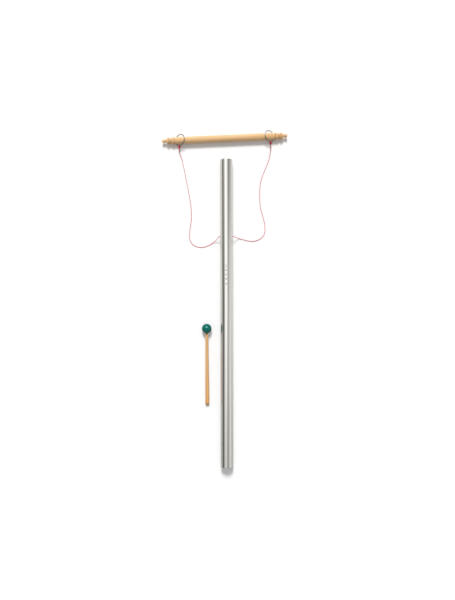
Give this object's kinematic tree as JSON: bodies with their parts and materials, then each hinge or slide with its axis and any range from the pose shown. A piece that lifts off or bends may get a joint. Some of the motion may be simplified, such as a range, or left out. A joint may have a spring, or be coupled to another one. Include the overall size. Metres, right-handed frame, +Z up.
{
  "type": "tuning pipe",
  "caption": "Tuned aluminium pipe hung on a thin cord from a turned wooden handle with wire rings, with a ball-headed mallet beside it.",
  "frame": {"origin": "middle of the pipe's underside, where it lies on the table", "axes": "+Y along the pipe towards the handle, +Z up from the table, +X to the right as the picture shows it"},
  "size_m": [0.3278, 0.8792, 0.032],
  "materials": {
    "drawn_aluminium": "drawn and polished along its length",
    "beech": "turned and satin varnished",
    "stick_beech": "turned and oiled",
    "nickelled_steel": "nickelled wire",
    "red_cord": "twisted cord",
    "green_lacquer": "glossy green lacquer"
  },
  "bodies": {
    "pipe": {"pipe": "drawn_aluminium"},
    "suspension": {"cord": "red_cord"},
    "handle": {"handle_bar": "beech"},
    "left_ring": {"left_ring": "nickelled_steel", "left_knot": "red_cord"},
    "right_ring": {"right_ring": "nickelled_steel", "right_knot": "red_cord"},
    "mallet": {"mallet_stick": "stick_beech", "mallet_ball": "green_lacquer"}
  },
  "joints": [
    {"name": "suspension_lift", "type": "hinge", "parent": "pipe", "child": "suspension", "pos_m": [0, 0.2, 0.016], "axis": [1, 0, 0], "range_deg": [0, 175]},
    {"name": "handle_roll", "type": "hinge", "parent": "suspension", "child": "handle", "pos_m": [-0.0039, 0.4574, 0.0098], "axis": [0.9991, 0.0419, 0], "continuous": true},
    {"name": "left_ring_tilt", "type": "hinge", "parent": "suspension", "child": "left_ring", "pos_m": [-0.12104, 0.45368, 0.0098], "axis": [-0.0976, -0.9952, 0], "range_deg": [0, 106.7]},
    {"name": "right_ring_tilt", "type": "hinge", "parent": "suspension", "child": "right_ring", "pos_m": [0.11318, 0.4635, 0.0098], "axis": [-0.1461, 0.9893, 0], "range_deg": [0, 106.7]},
    {"name": "mallet_strike", "type": "hinge", "parent": "pipe", "child": "mallet", "pos_m": [-0.05105, -0.24094, 0], "axis": [0, 0, -1], "range_deg": [-25, 6.5]}
  ]
}
